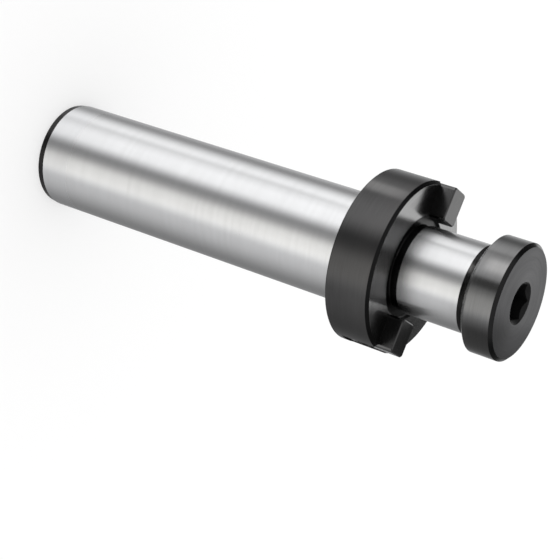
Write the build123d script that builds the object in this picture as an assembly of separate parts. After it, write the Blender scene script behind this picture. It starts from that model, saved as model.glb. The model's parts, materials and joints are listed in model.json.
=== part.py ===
from build123d import *
from math import radians, sqrt, tan
import os

# Face mill arbor on a straight shank, standing on the rear end of the shank.
# Z runs up the axis from the rear end to the lock screw, and the keys lie along X.

# Straight shank
shank_diameter = 32.0
shank_length = 111.2
shank_chamfer_length = 2.1
shank_chamfer_depth = 0.35
shank_root_fillet = 1.0

# Collar that the face mill bears on
collar_diameter = 50.0
collar_width = 13.5
collar_front_chamfer_length = 0.7
collar_front_chamfer_depth = 1.0
collar_rear_chamfer = 0.3

# Pilot that centres the face mill
pilot_diameter = 25.4
pilot_length = 22.6
pilot_lead_length = 2.4
pilot_lead_depth = 1.4

# Grinding relief where the pilot meets the collar
relief_width = 2.4
relief_depth = 0.8
relief_flank = 0.5
relief_fillet = 0.3
neck_length = 1.7
neck_depth = 0.4

# Centre hole in the rear end, with a 60 degree seat
centre_mouth_diameter = 8.5
centre_drill_diameter = 4.0
centre_drill_depth = 9.0
centre_seat_angle = 60.0

# Lock screw and its tapped hole, with the angle in degrees that the screw has come to rest at
lock_thread_diameter = 12.0
lock_screw_length = 26.0
lock_head_diameter = 33.3
lock_head_height = 10.0
lock_head_rear_chamfer_length = 1.4
lock_head_rear_chamfer_depth = 1.9
lock_head_front_chamfer_length = 0.9
lock_head_front_chamfer_depth = 1.0
lock_socket_across_flats = 10.0
lock_socket_depth = 6.0
lock_socket_mouth_margin = 0.35
lock_screw_turn = 21.0
lock_screw_tip_chamfer = 1.2
lock_hole_room = 4.0
lock_hole_mouth_margin = 0.6

# Drive keys in slots across the collar face
key_width = 8.0
key_rise = 4.6
key_pilot_gap = 1.9
key_end_recess = 0.55
key_corner_radius = 1.0
key_edge_chamfer = 0.3
key_slot_clearance = 0.03
slot_web = 2.3
slot_cutter_overrun = 2.0

# Screw that holds each key, put in from the rim of the collar
key_screw_diameter = 3.0
key_screw_engagement = 4.0
key_screw_head_diameter = 5.5
key_screw_head_height = 3.0
key_screw_socket_across_flats = 2.5
key_screw_socket_depth = 1.5
key_screw_head_recess = 0.3
key_screw_head_clearance = 0.25
key_screw_body_clearance = 0.2
key_screw_hole_room = 0.8

thread_clearance = 0.05
drill_point_angle = 118.0

shank_radius = shank_diameter / 2
collar_radius = collar_diameter / 2
pilot_radius = pilot_diameter / 2
collar_rear_z = shank_length
collar_face_z = collar_rear_z + collar_width
pilot_end_z = collar_face_z + pilot_length
lock_face_z = pilot_end_z + lock_head_height

slot_depth = collar_width - slot_web
slot_floor_z = collar_face_z - slot_depth
key_inner_x = pilot_radius + key_pilot_gap
key_outer_x = collar_radius - key_end_recess
key_screw_z = collar_face_z - slot_depth / 2
key_screw_seat_x = key_outer_x - key_screw_head_recess - key_screw_head_height
key_screw_tip_x = key_inner_x - key_screw_engagement


def turned(points):
    """Solid turned about Z from its half section, given as (radius, height) points."""
    outline = Polyline(*[(radius, 0, height) for radius, height in points], close=True)
    return revolve(make_face(outline), Axis.Z)


def drill_point(radius):
    """Depth of the cone that a drill of this radius leaves at the bottom of its hole."""
    return radius / tan(radians(drill_point_angle / 2))


def radial_rod(radius, inner_x, outer_x):
    """Round rod along X at the height of the key screws."""
    rod = Plane.YZ.offset(inner_x) * Circle(radius)
    return Pos(0, 0, key_screw_z) * extrude(rod, outer_x - inner_x)


def hex_prism(across_flats, depth):
    """Upright hexagonal prism from Z = 0, with two of its flats across X."""
    return extrude(RegularPolygon(across_flats / 2, 6, major_radius=False, rotation=30), depth)


def half_turn(shape):
    """The same shape on the other side of the arbor."""
    return Rot(0, 0, 180) * shape


def body_section():
    """Half section of the shank, collar, relief and pilot."""
    groove_floor_z = collar_face_z - relief_depth
    groove_outer = pilot_radius + relief_width
    neck_radius = pilot_radius - neck_depth
    points = [
        (0, 0),
        (shank_radius - shank_chamfer_depth, 0),
        (shank_radius, shank_chamfer_length),
        (shank_radius, collar_rear_z),
        (collar_radius - collar_rear_chamfer, collar_rear_z),
        (collar_radius, collar_rear_z + collar_rear_chamfer),
        (collar_radius, collar_face_z - collar_front_chamfer_length),
        (collar_radius - collar_front_chamfer_depth, collar_face_z),
        (groove_outer, collar_face_z),
        (groove_outer - relief_flank, groove_floor_z),
        (neck_radius, groove_floor_z),
        (neck_radius, collar_face_z + neck_length - neck_depth),
        (pilot_radius, collar_face_z + neck_length),
        (pilot_radius, pilot_end_z - pilot_lead_length),
        (pilot_radius - pilot_lead_depth, pilot_end_z),
        (0, pilot_end_z),
    ]
    outline = Polyline(*[(radius, 0, height) for radius, height in points], close=True)
    section = make_face(outline).face()
    shoulder = Vector(shank_radius, 0, collar_rear_z)
    section = section.fillet_2d(shank_root_fillet, section.vertices().sort_by_distance(shoulder)[:1])
    for radius in (groove_outer - relief_flank, neck_radius):
        corner = Vector(radius, 0, groove_floor_z)
        section = section.fillet_2d(relief_fillet, section.vertices().sort_by_distance(corner)[:1])
    return section


def centre_hole():
    """Drilled and countersunk centre in the rear end of the shank."""
    mouth = centre_mouth_diameter / 2
    drill = centre_drill_diameter / 2
    seat_depth = (mouth - drill) / tan(radians(centre_seat_angle / 2))
    return turned([
        (0, 0),
        (mouth, 0),
        (drill, seat_depth),
        (drill, centre_drill_depth),
        (0, centre_drill_depth + drill_point(drill)),
    ])


def tapped_hole():
    """Hole for the lock screw, down from the end of the pilot."""
    hole = lock_thread_diameter / 2 + thread_clearance
    mouth = hole + lock_hole_mouth_margin
    bottom_z = pilot_end_z - lock_screw_length - lock_hole_room
    return turned([
        (0, pilot_end_z),
        (mouth, pilot_end_z),
        (hole, pilot_end_z - lock_hole_mouth_margin),
        (hole, bottom_z),
        (0, bottom_z - drill_point(hole)),
    ])


def long_plan(inner_x, outer_x, width):
    """Rectangle along X with the rounded corners of the keys."""
    rectangle = RectangleRounded(outer_x - inner_x, width, key_corner_radius)
    return Pos((inner_x + outer_x) / 2, 0) * rectangle


def key_slot():
    """Slot for one key, open at the collar face and at the rim."""
    inner_x = key_inner_x - key_slot_clearance
    outer_x = collar_radius + key_corner_radius + slot_cutter_overrun
    width = key_width + 2 * key_slot_clearance
    plan = long_plan(inner_x, outer_x, width)
    return Pos(0, 0, slot_floor_z) * extrude(plan, slot_depth + slot_cutter_overrun)


def key_screw_hole():
    """Tapped hole in from the end wall of the key slot."""
    radius = key_screw_diameter / 2 + thread_clearance
    return radial_rod(radius, key_screw_tip_x - key_screw_hole_room, key_outer_x)


def make_arbor_body():
    """Shank, collar and pilot, turned and ground in one piece."""
    body = revolve(body_section(), Axis.Z) - centre_hole() - tapped_hole()
    cut = key_slot() + key_screw_hole()
    return body - cut - half_turn(cut)


def make_drive_key():
    """Key block with rounded corners and a counterbore in its outer end."""
    plan = long_plan(key_inner_x, key_outer_x, key_width)
    block = Pos(0, 0, slot_floor_z) * extrude(plan, slot_depth + key_rise)
    ends = block.faces().filter_by(Axis.Z)
    block = chamfer(ends.edges(), key_edge_chamfer)
    shaft = key_screw_diameter / 2 + key_screw_body_clearance
    head = key_screw_head_diameter / 2 + key_screw_head_clearance
    block -= radial_rod(shaft, key_inner_x, key_outer_x)
    return block - radial_rod(head, key_screw_seat_x, key_outer_x)


def make_key_screw():
    """Socket cap screw along X, with its head seated in the key's counterbore."""
    head_outer_x = key_screw_seat_x + key_screw_head_height
    screw = radial_rod(key_screw_diameter / 2, key_screw_tip_x, key_screw_seat_x)
    screw += radial_rod(key_screw_head_diameter / 2, key_screw_seat_x, head_outer_x)
    socket = Rot(0, 90, 0) * hex_prism(key_screw_socket_across_flats, key_screw_socket_depth)
    return screw - Pos(head_outer_x - key_screw_socket_depth, 0, key_screw_z) * socket


def make_lock_screw():
    """Screw with a broad turned head that clamps the face mill on the pilot."""
    head = lock_head_diameter / 2
    thread = lock_thread_diameter / 2
    tip_z = pilot_end_z - lock_screw_length
    screw = turned([
        (0, tip_z),
        (thread - lock_screw_tip_chamfer, tip_z),
        (thread, tip_z + lock_screw_tip_chamfer),
        (thread, pilot_end_z),
        (head - lock_head_rear_chamfer_depth, pilot_end_z),
        (head, pilot_end_z + lock_head_rear_chamfer_length),
        (head, lock_face_z - lock_head_front_chamfer_length),
        (head - lock_head_front_chamfer_depth, lock_face_z),
        (0, lock_face_z),
    ])
    socket_floor_z = lock_face_z - lock_socket_depth
    socket = Rot(0, 0, lock_screw_turn) * hex_prism(lock_socket_across_flats, lock_socket_depth)
    screw -= Pos(0, 0, socket_floor_z) * socket
    mouth = lock_socket_across_flats / sqrt(3) + lock_socket_mouth_margin
    flat = lock_socket_across_flats / 2
    flat_z = lock_face_z - (mouth - flat)
    return screw - turned([(0, lock_face_z), (mouth, lock_face_z), (flat, flat_z), (0, flat_z)])


drive_key = make_drive_key()
key_screw = make_key_screw()
parts = {
    "arbor_body": make_arbor_body(),
    "drive_key_1": drive_key,
    "drive_key_2": half_turn(drive_key),
    "key_screw_1": key_screw,
    "key_screw_2": half_turn(key_screw),
    "lock_screw": make_lock_screw(),
}

os.makedirs("parts", exist_ok=True)
for name, shape in parts.items():
    export_step(shape, f"parts/{name}.step")
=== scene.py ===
import json
import math

import bpy
from mathutils import Matrix, Vector


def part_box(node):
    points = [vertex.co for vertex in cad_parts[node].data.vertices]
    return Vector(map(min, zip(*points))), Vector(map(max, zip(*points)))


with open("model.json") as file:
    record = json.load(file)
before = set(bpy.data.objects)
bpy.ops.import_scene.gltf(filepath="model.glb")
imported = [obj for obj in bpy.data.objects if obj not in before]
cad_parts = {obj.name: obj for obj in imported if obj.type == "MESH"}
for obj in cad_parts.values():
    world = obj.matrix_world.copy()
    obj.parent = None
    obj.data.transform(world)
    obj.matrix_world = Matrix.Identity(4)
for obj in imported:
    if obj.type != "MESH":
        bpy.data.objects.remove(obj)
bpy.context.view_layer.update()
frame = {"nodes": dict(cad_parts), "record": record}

MM = 0.001
MOUNTS = {mount["name"]: mount for mount in frame["record"]["mounts"]}

# Surfaces of the arbor body that set where each finish begins
SHANK = MOUNTS["shank"]
SHANK_RADIUS = SHANK["dims"]["r_mm"] * MM
SHANK_GROUND = SHANK["dims"]["length_mm"] * MM
SHANK_MIDDLE = SHANK["pos_m"][2]
PILOT = MOUNTS["cutter_pilot"]
PILOT_RADIUS = PILOT["dims"]["r_mm"] * MM
PILOT_GROUND = PILOT["dims"]["length_mm"] * MM
PILOT_MIDDLE = PILOT["pos_m"][2]
COLLAR_FACE = MOUNTS["collar_face"]["pos_m"][2]

# Stretch of the shank that holders have gripped, from the rear end up
GRIPPED_END = 11.1 * MM
GRIPPED_FADE = 0.9 * MM

# Relief groove and neck, which are painted dark as shade: outer radius, and reach above and below the
# collar face
RELIEF_RADIUS = 15.2 * MM
RELIEF_REACH = 1.75 * MM

# Lock screw: its front face, the underside of its head, and the mouth of its socket, inside which shade is
# painted
HEAD_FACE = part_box("lock_screw")[1].z
HEAD_REAR = MOUNTS["lock_screw_thread"]["pos_m"][2]
SOCKET_MOUTH = 6.3 * MM

# How far a surface may lie from its own radius or height and still take its finish
SIDE_ROOM = 0.1 * MM
FACE_ROOM = 0.05 * MM
FINISH_BLUR = 0.05 * MM

# Upright share of the normal on the chamfers that face about 50 degrees up or down, which are painted dark
# as shade
CHAMFER_SLOPE = 0.78
CHAMFER_SPREAD = 0.06
CHAMFER_BLUR = 0.05

# Camera, as fitted to the photograph, with its lens and sensor in mm
CAMERA_PLACE = Vector((-51.7, 394.1, 305.9)) * MM
CAMERA_RIGHT = Vector((0.37483, -0.42435, 0.82428))
CAMERA_UP = Vector((0.92365, 0.24749, -0.2926))
CLIP_START = 10 * MM
LENS = 101.06
SENSOR = 36.0
FACING = math.degrees(math.atan2(CAMERA_PLACE.y, CAMERA_PLACE.x))

# Edges are rounded in the shader
EDGE_RADIUS = 0.16 * MM
EDGE_SAMPLES = 6

# A quarter turn, so that highlights stretch across the turning lines
HIGHLIGHT_TURN = 0.25

# Turning lines: the shift keeps the sides of the arbor off the grid lines of the noise, where the
# lines would bunch, and the lean carries the lines on over the flat faces
LINE_SHIFT = 0.43
LINE_LEAN = 0.83
AXIS_ROOM = 0.1 * MM

# The range that nearly all of a noise stays in
NOISE_LOW = 0.3
NOISE_HIGH = 0.7


class Nodes:
    """Short calls that add and join the nodes of one tree."""

    def __init__(self, tree):
        self.tree = tree

    def put(self, target, value):
        """Joins an output to a socket, or sets the socket's own value."""
        if isinstance(value, bpy.types.NodeSocket):
            self.tree.links.new(value, target)
        else:
            target.default_value = value

    def add(self, kind, inputs=(), **settings):
        """New node with its settings, and its inputs by name or place."""
        node = self.tree.nodes.new(kind)
        for name, value in settings.items():
            setattr(node, name, value)
        for key, value in dict(inputs).items():
            self.put(node.inputs[key], value)
        return node

    def math(self, operation, *values):
        """Result of one sum on numbers or outputs."""
        node = self.add("ShaderNodeMath", operation=operation)
        for socket, value in zip(node.inputs, values):
            self.put(socket, value)
        return node.outputs[0]

    def mix(self, factor, low, high):
        """Colour between low and high. The node repeats its input names, so they go by place."""
        node = self.add("ShaderNodeMix", data_type="RGBA")
        for place, value in ((0, factor), (6, low), (7, high)):
            self.put(node.inputs[place], value)
        return node.outputs[2]

    def blend(self, factor, low, high):
        """Number between low and high."""
        node = self.add("ShaderNodeMix", {0: factor, 2: low, 3: high}, data_type="FLOAT")
        return node.outputs[0]

    def step(self, value, low, high):
        """0 up to low, 1 from high on, and smooth between."""
        inputs = {0: value, 1: low, 2: high, 3: 0.0, 4: 1.0}
        return self.add("ShaderNodeMapRange", inputs, interpolation_type="SMOOTHSTEP").outputs[0]

    def near(self, value, middle, half, blur):
        """1 within half of middle, falling to 0 over blur."""
        away = self.math("ABSOLUTE", self.math("SUBTRACT", value, middle))
        return self.math("SUBTRACT", 1.0, self.step(away, half, half + blur))

    def noise(self, vector, scale, detail):
        """Soft noise about the middle of 0 to 1."""
        inputs = {"Vector": vector, "Scale": scale, "Detail": detail}
        return self.add("ShaderNodeTexNoise", inputs).outputs[0]

    def scaled(self, noise, low, high):
        """A noise spread from low to high."""
        inputs = {0: noise, 1: NOISE_LOW, 2: NOISE_HIGH, 3: low, 4: high}
        return self.add("ShaderNodeMapRange", inputs).outputs[0]

    def vector(self, x, y, z):
        """Vector of three numbers or outputs."""
        return self.add("ShaderNodeCombineXYZ", {0: x, 1: y, 2: z}).outputs[0]

    def split(self, vector):
        """The three outputs of a vector."""
        return self.add("ShaderNodeSeparateXYZ", {0: vector}).outputs

    def place(self):
        """Place of the shaded point on its own object, in metres."""
        return self.add("ShaderNodeTexCoord").outputs["Object"]

    def end(self, kind, shader):
        """Hands a shader to the output node of the tree."""
        self.put(self.add(kind).inputs[0], shader)


def grey(level):
    """Opaque grey of one level."""
    return (level, level, level, 1.0)


class Turned:
    """Place on a turned piece: its radius, its height, and its slope, 0 on a side and 1 on a flat face."""

    def __init__(self, n):
        self.n = n
        self.place = n.place()
        self.x, self.y, self.z = n.split(self.place)
        squares = [n.math("MULTIPLY", axis, axis) for axis in (self.x, self.y)]
        self.radius = n.math("SQRT", n.math("ADD", *squares))
        upward = n.split(n.add("ShaderNodeTexCoord").outputs["Normal"])[2]
        self.slope = n.math("ABSOLUTE", upward)

    def lines(self, pitch, turns, detail):
        """Fine lines that run round the piece, pitch apart, and break up over part of a turn."""
        n = self.n
        radius = n.math("MAXIMUM", self.radius, AXIS_ROOM)
        along = []
        for axis in (self.x, self.y):
            share = n.math("DIVIDE", axis, radius)
            along.append(n.math("MULTIPLY_ADD", share, turns, LINE_SHIFT))
        across = n.math("ADD", self.z, n.math("MULTIPLY", self.radius, LINE_LEAN))
        return n.noise(n.vector(*along, n.math("DIVIDE", across, pitch)), 1.0, detail)

    def side(self, radius, middle, length):
        """1 on a straight side of this radius and length, and 0 elsewhere."""
        n = self.n
        on_radius = n.near(self.radius, radius, SIDE_ROOM, FINISH_BLUR)
        return n.math("MULTIPLY", on_radius, n.near(self.z, middle, length / 2, FINISH_BLUR))

    def face(self, height):
        """1 on a flat face at this height, and 0 elsewhere."""
        return self.n.near(self.z, height, FACE_ROOM, FINISH_BLUR)

    def shaded_chamfer(self):
        """1 on the chamfers that face about 50 degrees up or down, where dark shade is painted."""
        return self.n.near(self.slope, CHAMFER_SLOPE, CHAMFER_SPREAD, CHAMFER_BLUR)


def finish_shader(n, colour, roughness, height, depth, stretch):
    """One metal surface: its colour, roughness, fine relief, rounded edges and stretched highlights."""
    rounded = n.add("ShaderNodeBevel", {"Radius": EDGE_RADIUS}, samples=EDGE_SAMPLES).outputs[0]
    relief = {"Strength": 1.0, "Distance": depth, "Height": height, "Normal": rounded}
    normal = n.add("ShaderNodeBump", relief).outputs[0]
    inputs = {"Base Color": colour, "Metallic": 1.0, "Roughness": roughness, "Normal": normal}
    if stretch:
        tangent = n.add("ShaderNodeTangent", direction_type="RADIAL", axis="Z").outputs[0]
        inputs |= {"Anisotropic": stretch, "Anisotropic Rotation": HIGHLIGHT_TURN, "Tangent": tangent}
    n.end("ShaderNodeOutputMaterial", n.add("ShaderNodeBsdfPrincipled", inputs).outputs[0])


def new_material(name):
    """Empty material, and the calls that fill its tree."""
    material = bpy.data.materials.new(name)
    material.use_nodes = True
    material.node_tree.nodes.clear()
    return material, Nodes(material.node_tree)


# In the finishes below, turning lines are a pitch, breaks on the way round and a detail, a haze is a
# scale and a detail, roughness is its value at the two ends of a noise, a share is the most of a
# colour that comes in, and a weight is the relief of the broad lines against that of the fine ones

# Ground steel of the shank and the pilot
GROUND_LOW = (0.638, 0.638, 0.643, 1.0)
GROUND_HIGH = (0.652, 0.652, 0.652, 1.0)
GROUND_STREAK = (0.6, 0.598, 0.595, 1.0)
GROUND_STREAK_SHARE = 0.3
GROUND_ROUGH = (0.25, 0.262)
GROUND_HAZE_ROUGH = (-0.01, 0.015)
GRIPPED_COLOUR = (0.76, 0.765, 0.775, 1.0)
GRIPPED_SHARE = 0.25
GRIPPED_ROUGH = 0.04
PILOT_COLOUR = 0.52
PILOT_SHARE = 0.3

# Black oxide on the rest of the arbor body, and its fine turned collar face
OXIDE_LOW = (0.056, 0.055, 0.055, 1.0)
OXIDE_HIGH = (0.078, 0.076, 0.075, 1.0)
OXIDE_LINE = 0.11
OXIDE_LINE_SHARE = 0.3
OXIDE_ROUGH = (0.22, 0.27)
COLLAR_FACE_LOW = 0.27
COLLAR_FACE_HIGH = 0.33
COLLAR_FACE_ROUGH = (0.16, 0.2)
# Painted shade: the chamfers are darkened below the oxide to stand in for the dark that they reflect
CHAMFER_PAINTED_SHADE = 0.02
# Painted shade: the relief groove and neck are darkened below the oxide, as shade in the recess
RELIEF_PAINTED_SHADE = 0.03

BODY_FINE = (0.16 * MM, 2.7, 3.0)
BODY_BROAD = (1.1 * MM, 1.15, 2.0)
BODY_BROAD_WEIGHT = 0.6
BODY_HAZE = (55.0, 3.0)
BODY_LINE_DEPTH = 0.00016 * MM
BODY_STRETCH = 0.85


def ground_colour(n, fine, broad, gripped, on_pilot):
    """Colour of the ground steel: faintly streaked, paler where gripped, and greyer on the pilot."""
    colour = n.mix(n.scaled(fine, 0.0, 1.0), GROUND_LOW, GROUND_HIGH)
    colour = n.mix(n.scaled(broad, 0.0, GROUND_STREAK_SHARE), colour, GROUND_STREAK)
    colour = n.mix(n.math("MULTIPLY", gripped, GRIPPED_SHARE), colour, GRIPPED_COLOUR)
    return n.mix(n.math("MULTIPLY", on_pilot, PILOT_SHARE), colour, grey(PILOT_COLOUR))


def oxide_colour(n, at, fine, haze, on_face):
    """Colour of the rest of the body: black oxide, a paler collar face, and painted shade on the chamfers
    and in the relief groove and neck.
    """
    by_face = n.near(at.z, COLLAR_FACE, RELIEF_REACH, FINISH_BLUR)
    # Where the painted shade of the relief groove and neck goes
    relief_shade = n.math("MULTIPLY", by_face, n.math("LESS_THAN", at.radius, RELIEF_RADIUS))
    oxide = n.mix(n.scaled(haze, 0.0, 1.0), OXIDE_LOW, OXIDE_HIGH)
    oxide = n.mix(n.scaled(fine, 0.0, OXIDE_LINE_SHARE), oxide, grey(OXIDE_LINE))
    face = n.mix(n.scaled(fine, 0.0, 1.0), grey(COLLAR_FACE_LOW), grey(COLLAR_FACE_HIGH))
    colour = n.mix(on_face, oxide, face)
    # Painted shade on the chamfers
    colour = n.mix(at.shaded_chamfer(), colour, grey(CHAMFER_PAINTED_SHADE))
    # Painted shade in the relief groove and neck
    return n.mix(relief_shade, colour, grey(RELIEF_PAINTED_SHADE))


def arbor_steel():
    """Shank and pilot ground bright, the collar's face fine turned, the rest black oxide."""
    material, n = new_material("arbor_steel")
    at = Turned(n)
    on_shank = at.side(SHANK_RADIUS, SHANK_MIDDLE, SHANK_GROUND)
    on_pilot = at.side(PILOT_RADIUS, PILOT_MIDDLE, PILOT_GROUND)
    ground = n.math("MAXIMUM", on_shank, on_pilot)
    on_face = at.face(COLLAR_FACE)
    beyond = n.step(at.z, GRIPPED_END - GRIPPED_FADE, GRIPPED_END + GRIPPED_FADE)
    gripped = n.math("MULTIPLY", on_shank, n.math("SUBTRACT", 1.0, beyond))
    fine = at.lines(*BODY_FINE)
    broad = at.lines(*BODY_BROAD)
    haze = n.noise(at.place, *BODY_HAZE)

    bright = ground_colour(n, fine, broad, gripped, on_pilot)
    dark = oxide_colour(n, at, fine, haze, on_face)
    colour = n.mix(ground, dark, bright)
    ground_rough = n.math("ADD", n.scaled(broad, *GROUND_ROUGH), n.scaled(haze, *GROUND_HAZE_ROUGH))
    ground_rough = n.math("ADD", ground_rough, n.math("MULTIPLY", gripped, GRIPPED_ROUGH))
    dark_rough = n.blend(on_face, n.scaled(haze, *OXIDE_ROUGH), n.scaled(broad, *COLLAR_FACE_ROUGH))
    roughness = n.blend(ground, dark_rough, ground_rough)
    height = n.math("ADD", fine, n.math("MULTIPLY", broad, BODY_BROAD_WEIGHT))
    finish_shader(n, colour, roughness, height, BODY_LINE_DEPTH, BODY_STRETCH)
    return material


# Black oxide over the turned head of the lock screw
RIM_LOW = 0.15
RIM_HIGH = 0.185
RIM_HAZE_COLOUR = (0.135, 0.13, 0.128, 1.0)
RIM_HAZE_SHARE = 0.4
RIM_ROUGH = (0.18, 0.22)
HEAD_FACE_LOW = (0.061, 0.061, 0.064, 1.0)
HEAD_FACE_HIGH = (0.079, 0.079, 0.082, 1.0)
HEAD_FACE_HAZE_COLOUR = 0.075
HEAD_FACE_HAZE_SHARE = 0.4
HEAD_FACE_ROUGH = (0.38, 0.44)
# Painted shade: the head's chamfers are darkened to stand in for the dark that they reflect
HEAD_CHAMFER_PAINTED_SHADE = 0.03
# Painted shade: the inside of the socket is darkened as shade in the recess
SOCKET_PAINTED_SHADE = 0.035
SOCKET_ROUGH = 0.5
THREAD_COLOUR = 0.2

HEAD_FINE = (0.14 * MM, 1.8, 3.0)
HEAD_BROAD = (0.8 * MM, 0.85, 2.0)
HEAD_BROAD_WEIGHT = 1.2
HEAD_HAZE = (90.0, 3.0)
HEAD_LINE_DEPTH = 0.0003 * MM
HEAD_STRETCH = 0.5


def head_colour(n, fine, haze, on_face):
    """Colour of the turned head: its rim, and its darker front face."""
    rim = n.mix(n.scaled(fine, 0.0, 1.0), grey(RIM_LOW), grey(RIM_HIGH))
    rim = n.mix(n.scaled(haze, 0.0, RIM_HAZE_SHARE), rim, RIM_HAZE_COLOUR)
    face = n.mix(n.scaled(fine, 0.0, 1.0), HEAD_FACE_LOW, HEAD_FACE_HIGH)
    face = n.mix(n.scaled(haze, 0.0, HEAD_FACE_HAZE_SHARE), face, grey(HEAD_FACE_HAZE_COLOUR))
    return n.mix(on_face, rim, face)


def lock_screw_steel():
    """Black oxide over turned steel: a smooth rim, a matt face with fine rings, and painted shade in the
    socket and on the chamfers.
    """
    material, n = new_material("lock_screw_steel")
    at = Turned(n)
    on_face = at.face(HEAD_FACE)
    on_head = n.step(at.z, HEAD_REAR - FINISH_BLUR, HEAD_REAR)
    # Inside of the socket, which is painted dark as shade and takes its own roughness
    inside = n.math("SUBTRACT", 1.0, n.step(at.radius, SOCKET_MOUTH, SOCKET_MOUTH + FINISH_BLUR))
    shaded_socket = n.math("MULTIPLY", inside, n.math("SUBTRACT", 1.0, on_face))
    fine = at.lines(*HEAD_FINE)
    broad = at.lines(*HEAD_BROAD)
    haze = n.noise(at.place, *HEAD_HAZE)

    colour = head_colour(n, fine, haze, on_face)
    # Painted shade on the head's chamfers
    colour = n.mix(at.shaded_chamfer(), colour, grey(HEAD_CHAMFER_PAINTED_SHADE))
    # Painted shade in the socket
    colour = n.mix(shaded_socket, colour, grey(SOCKET_PAINTED_SHADE))
    colour = n.mix(on_head, grey(THREAD_COLOUR), colour)
    roughness = n.blend(on_face, n.scaled(broad, *RIM_ROUGH), n.scaled(broad, *HEAD_FACE_ROUGH))
    roughness = n.blend(shaded_socket, roughness, SOCKET_ROUGH)
    height = n.math("ADD", fine, n.math("MULTIPLY", broad, HEAD_BROAD_WEIGHT))
    finish_shader(n, colour, roughness, height, HEAD_LINE_DEPTH, HEAD_STRETCH)
    return material


# Black oxide over the ground key blocks
KEY_LOW = 0.092
KEY_HIGH = 0.125
KEY_HAZE_COLOUR = (0.088, 0.086, 0.085, 1.0)
KEY_HAZE_SHARE = 0.5
KEY_ROUGH = (0.17, 0.23)
KEY_GRAIN_LENGTH = 5.5 * MM
KEY_GRAIN_PITCH = 0.15 * MM
KEY_GRAIN_DETAIL = 3.0
KEY_GRAIN_DEPTH = 0.0012 * MM
KEY_HAZE = (260.0, 3.0)


def key_steel():
    """Black oxide over ground key blocks, with a fine grain along X."""
    material, n = new_material("key_steel")
    place = n.place()
    x, y, z = n.split(place)
    along = n.math("DIVIDE", x, KEY_GRAIN_LENGTH)
    across = [n.math("DIVIDE", axis, KEY_GRAIN_PITCH) for axis in (y, z)]
    grain = n.noise(n.vector(along, *across), 1.0, KEY_GRAIN_DETAIL)
    haze = n.noise(place, *KEY_HAZE)
    colour = n.mix(n.scaled(grain, 0.0, 1.0), grey(KEY_LOW), grey(KEY_HIGH))
    colour = n.mix(n.scaled(haze, 0.0, KEY_HAZE_SHARE), colour, KEY_HAZE_COLOUR)
    finish_shader(n, colour, n.scaled(haze, *KEY_ROUGH), grain, KEY_GRAIN_DEPTH, 0.0)
    return material


# Black oxide on the cap screws that hold the keys
SCREW_LOW = 0.07
SCREW_HIGH = 0.11
SCREW_ROUGH = (0.3, 0.42)
SCREW_HAZE = (900.0, 3.0)
SCREW_HAZE_DEPTH = 0.002 * MM


def screw_steel():
    """Black oxide on the small cap screws."""
    material, n = new_material("screw_steel")
    haze = n.noise(n.place(), *SCREW_HAZE)
    colour = n.mix(n.scaled(haze, 0.0, 1.0), grey(SCREW_LOW), grey(SCREW_HIGH))
    finish_shader(n, colour, n.scaled(haze, *SCREW_ROUGH), haze, SCREW_HAZE_DEPTH, 0.0)
    return material


def set_material(node, material):
    """Gives a CAD node its material."""
    mesh = frame["nodes"][node].data
    mesh.materials.clear()
    mesh.materials.append(material)


# Floor: its lift makes it white to the camera, and its drop keeps it off the rear face
FLOOR_SIZE = 6.0
FLOOR_COLOUR = 0.5
FLOOR_LIFT = 0.52
FLOOR_DROP = 0.02 * MM


def mirrored_rays(n, paths):
    """1 for rays that a surface mirrors or lets through, and 0 for all others."""
    return n.math("MAXIMUM", paths["Is Glossy Ray"], paths["Is Transmission Ray"])


def make_floor():
    """Plain pale floor that keeps the arbor's shadow, clear from below and in reflections."""
    bpy.ops.mesh.primitive_plane_add(size=FLOOR_SIZE, location=(0, 0, -FLOOR_DROP))
    floor = bpy.context.object
    floor.name = "floor"
    material, n = new_material("floor")
    paths = n.add("ShaderNodeLightPath").outputs
    paint = n.add("ShaderNodeBsdfDiffuse", {"Color": grey(FLOOR_COLOUR)}).outputs[0]
    strength = n.math("MULTIPLY", paths["Is Camera Ray"], FLOOR_LIFT)
    lift = n.add("ShaderNodeEmission", {"Strength": strength}).outputs[0]
    pale = n.add("ShaderNodeAddShader", {0: paint, 1: lift}).outputs[0]
    from_below = n.add("ShaderNodeNewGeometry").outputs["Backfacing"]
    hidden = n.math("MAXIMUM", mirrored_rays(n, paths), from_below)
    clear = n.add("ShaderNodeBsdfTransparent").outputs[0]
    both = n.add("ShaderNodeMixShader", {0: hidden, 1: pale, 2: clear}).outputs[0]
    n.end("ShaderNodeOutputMaterial", both)
    floor.data.materials.append(material)


# Soft light from all round the arbor, for reflections below the horizon: middle and half width in
# degrees from the camera, softness of the edges, and level, which is below 0 for a dark strip
FILL = 0.28
CARDS = (
    (-90, 1, 40, 1.24),
    (-80, 1, 5, -0.4),
    (-46, 6, 29, 1.36),
    (27, 9, 24, 0.6),
    (49, 1, 82, 0.65),
    (-168, 1, 45, 0.45),
)

# The same above the horizon, where the flat faces look
UPPER_FILL = 0.2
UPPER_CARDS = (
    (180, 60, 20, -0.1),
    (0, 25, 30, -0.18),
    (75, 20, 40, 0.25),
    (-60, 20, 30, 0.15),
)
TOP_LEVEL = 0.6
UNDER_LEVEL = 0.04

# Upward share of the direction over which each light goes over into the next
UPPER_START = (-0.1, 0.2)
TOP_START = (0.62, 0.82)
UNDER_START = (-0.66, -0.82)

# The soft light is a little cool, apart from the side right of the camera
COOL_WHITE = (0.985, 0.99, 1.0, 1.0)
WARM_WHITE = (1.0, 0.995, 0.975, 1.0)
WARM_CARD = (22, 10, 25)

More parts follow.
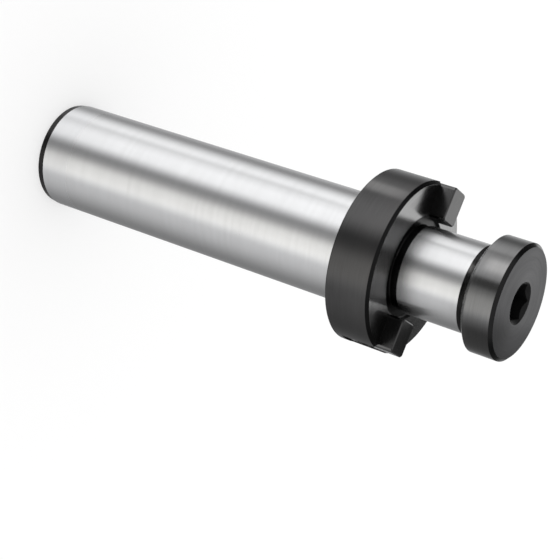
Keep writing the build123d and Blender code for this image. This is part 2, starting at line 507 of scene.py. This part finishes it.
# Cards that stand close to the arbor, bent round its axis and seen in reflections alone: radius and
# heights in mm, middle, half width and softness of the ends in degrees from the camera, and level.
# A card darker than what stands behind it is called a flag or a gap
NEAR_CARDS = {
    "back_card": (160, 149, 330, -165, 12, 5, 1.12),
    "head_card": (25, 147, 155, -35, 3, 11, 2.6),
    "head_gap": (25, 145, 155, -9.5, 2, 7, 0.2),
    "head_flag": (32, 140, 160, 80, 16, 36, 0.19),
    "top_card": (25, 160, 186, -179, 9, 14, 1.1),
    "collar_card": (36, 103, 117, -62, 3, 6, 2.7),
    "face_card": (50, 153, 166, 166, 2.5, 5, 1.1),
    "face_flag": (50, 138, 151, 160, 8, 6, 0.03),
}
CARD_STEP = 3.0


def around(n, x, y):
    """Angle of a place or a direction round the arbor, in degrees from the camera."""
    return n.math("SUBTRACT", n.math("DEGREES", n.math("ARCTAN2", y, x)), FACING)


def card_shape(n, degrees, middle, half, soft):
    """1 on a card and 0 beside it, with soft ends."""
    away = n.math("WRAP", n.math("SUBTRACT", degrees, middle), 180.0, -180.0)
    return n.near(away, 0.0, half, soft)


def card_ring(n, degrees, fill, cards):
    """Level of a ring of soft cards at a direction round the arbor."""
    level = fill
    for middle, half, soft, strength in cards:
        shape = card_shape(n, degrees, middle, half, soft)
        level = n.math("ADD", level, n.math("MULTIPLY", shape, strength))
    return level


def bent_card(name, radius, low, high, middle, reach):
    """Mesh of an upright strip bent round the axis of the arbor, reach degrees to each side."""
    steps = math.ceil(2 * reach / CARD_STEP)
    corners = []
    for step in range(steps + 1):
        angle = math.radians(FACING + middle + reach * (2 * step / steps - 1))
        x = radius * math.cos(angle) * MM
        y = radius * math.sin(angle) * MM
        corners += [(x, y, low * MM), (x, y, high * MM)]
    faces = [(2 * k, 2 * k + 2, 2 * k + 3, 2 * k + 1) for k in range(steps)]
    mesh = bpy.data.meshes.new(name)
    mesh.from_pydata(corners, [], faces)
    return mesh


def glow_material(name, middle, half, soft, level):
    """Glow of a near card, which turns clear over its soft ends."""
    material, n = new_material(name)
    x, y, z = n.split(n.place())
    shape = card_shape(n, around(n, x, y), middle, half, soft)
    clear = n.add("ShaderNodeBsdfTransparent").outputs[0]
    glow = n.add("ShaderNodeEmission", {"Strength": level}).outputs[0]
    both = n.add("ShaderNodeMixShader", {0: shape, 1: clear, 2: glow}).outputs[0]
    n.end("ShaderNodeOutputMaterial", both)
    return material


def make_near_card(name, radius, low, high, middle, half, soft, level):
    """Card close to the arbor that reflections alone can see."""
    mesh = bent_card(name, radius, low, high, middle, half + soft)
    mesh.materials.append(glow_material(name, middle, half, soft, level))
    card = bpy.data.objects.new(name, mesh)
    bpy.context.scene.collection.objects.link(card)
    card.visible_camera = False
    card.visible_diffuse = False
    card.visible_shadow = False
    card.visible_transmission = False
    card.visible_volume_scatter = False


def make_world():
    """Soft studio: plain white light, and to reflections a ring of pale and grey cards."""
    world = bpy.data.worlds.new("studio")
    bpy.context.scene.world = world
    world.use_nodes = True
    world.node_tree.nodes.clear()
    n = Nodes(world.node_tree)
    direction = n.add("ShaderNodeTexCoord").outputs["Generated"]
    x, y, z = n.split(direction)
    degrees = around(n, x, y)
    lower = card_ring(n, degrees, FILL, CARDS)
    warm = card_shape(n, degrees, *WARM_CARD)
    upper = card_ring(n, degrees, UPPER_FILL, UPPER_CARDS)
    level = n.blend(n.step(z, *UPPER_START), lower, upper)
    level = n.blend(n.step(z, *TOP_START), level, TOP_LEVEL)
    level = n.blend(n.step(z, *UNDER_START), level, UNDER_LEVEL)
    mirrored = mirrored_rays(n, n.add("ShaderNodeLightPath").outputs)
    strength = n.blend(mirrored, 1.0, level)
    tint = n.mix(n.math("MULTIPLY", warm, mirrored), COOL_WHITE, WARM_WHITE)
    tint = n.mix(mirrored, grey(1.0), tint)
    background = n.add("ShaderNodeBackground", {"Color": tint, "Strength": strength}).outputs[0]
    n.end("ShaderNodeOutputWorld", background)


def make_camera():
    """Camera at the photograph's place and angle."""
    data = bpy.data.cameras.new("camera")
    data.sensor_width = SENSOR
    data.lens = LENS
    data.clip_start = CLIP_START
    camera = bpy.data.objects.new("camera", data)
    back = CAMERA_RIGHT.cross(CAMERA_UP)
    turn = Matrix((CAMERA_RIGHT, CAMERA_UP, back)).transposed()
    camera.matrix_world = Matrix.Translation(CAMERA_PLACE) @ turn.to_4x4()
    bpy.context.scene.collection.objects.link(camera)
    bpy.context.scene.camera = camera


set_material("arbor_body", arbor_steel())
set_material("lock_screw", lock_screw_steel())
key_finish = key_steel()
screw_finish = screw_steel()
for number in ("1", "2"):
    set_material("drive_key_" + number, key_finish)
    set_material("key_screw_" + number, screw_finish)

make_floor()
make_world()
for name, settings in NEAR_CARDS.items():
    make_near_card(name, *settings)
make_camera()
bpy.context.scene.view_settings.view_transform = "Standard"
